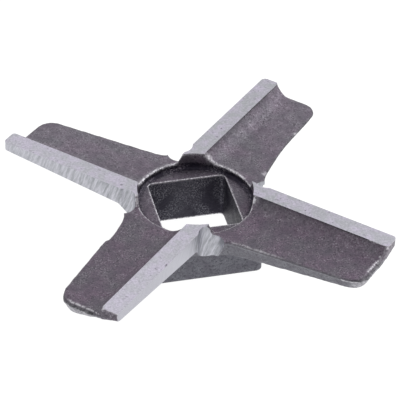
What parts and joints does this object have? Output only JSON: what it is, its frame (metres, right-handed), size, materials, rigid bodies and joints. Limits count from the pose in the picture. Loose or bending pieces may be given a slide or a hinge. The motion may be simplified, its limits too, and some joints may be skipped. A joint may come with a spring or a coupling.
{
  "type": "meat grinder knife",
  "caption": "Cast grinder knife with ground cutting lands on raised blades round a square drive hub.",
  "frame": {"origin": "centre of the drive hole, on the hub's rest face", "axes": "+Z along the drive hole, from the hub's rest face to the cutting lands; X and Y across the flats of the drive square; the blades point at 45 degrees to them"},
  "size_m": [0.0434, 0.0434, 0.0086],
  "materials": {
    "cast_metal": "cast, with ground lands and rake faces"
  },
  "bodies": {
    "root": {"grinder_knife": "cast_metal"}
  },
  "joints": []
}
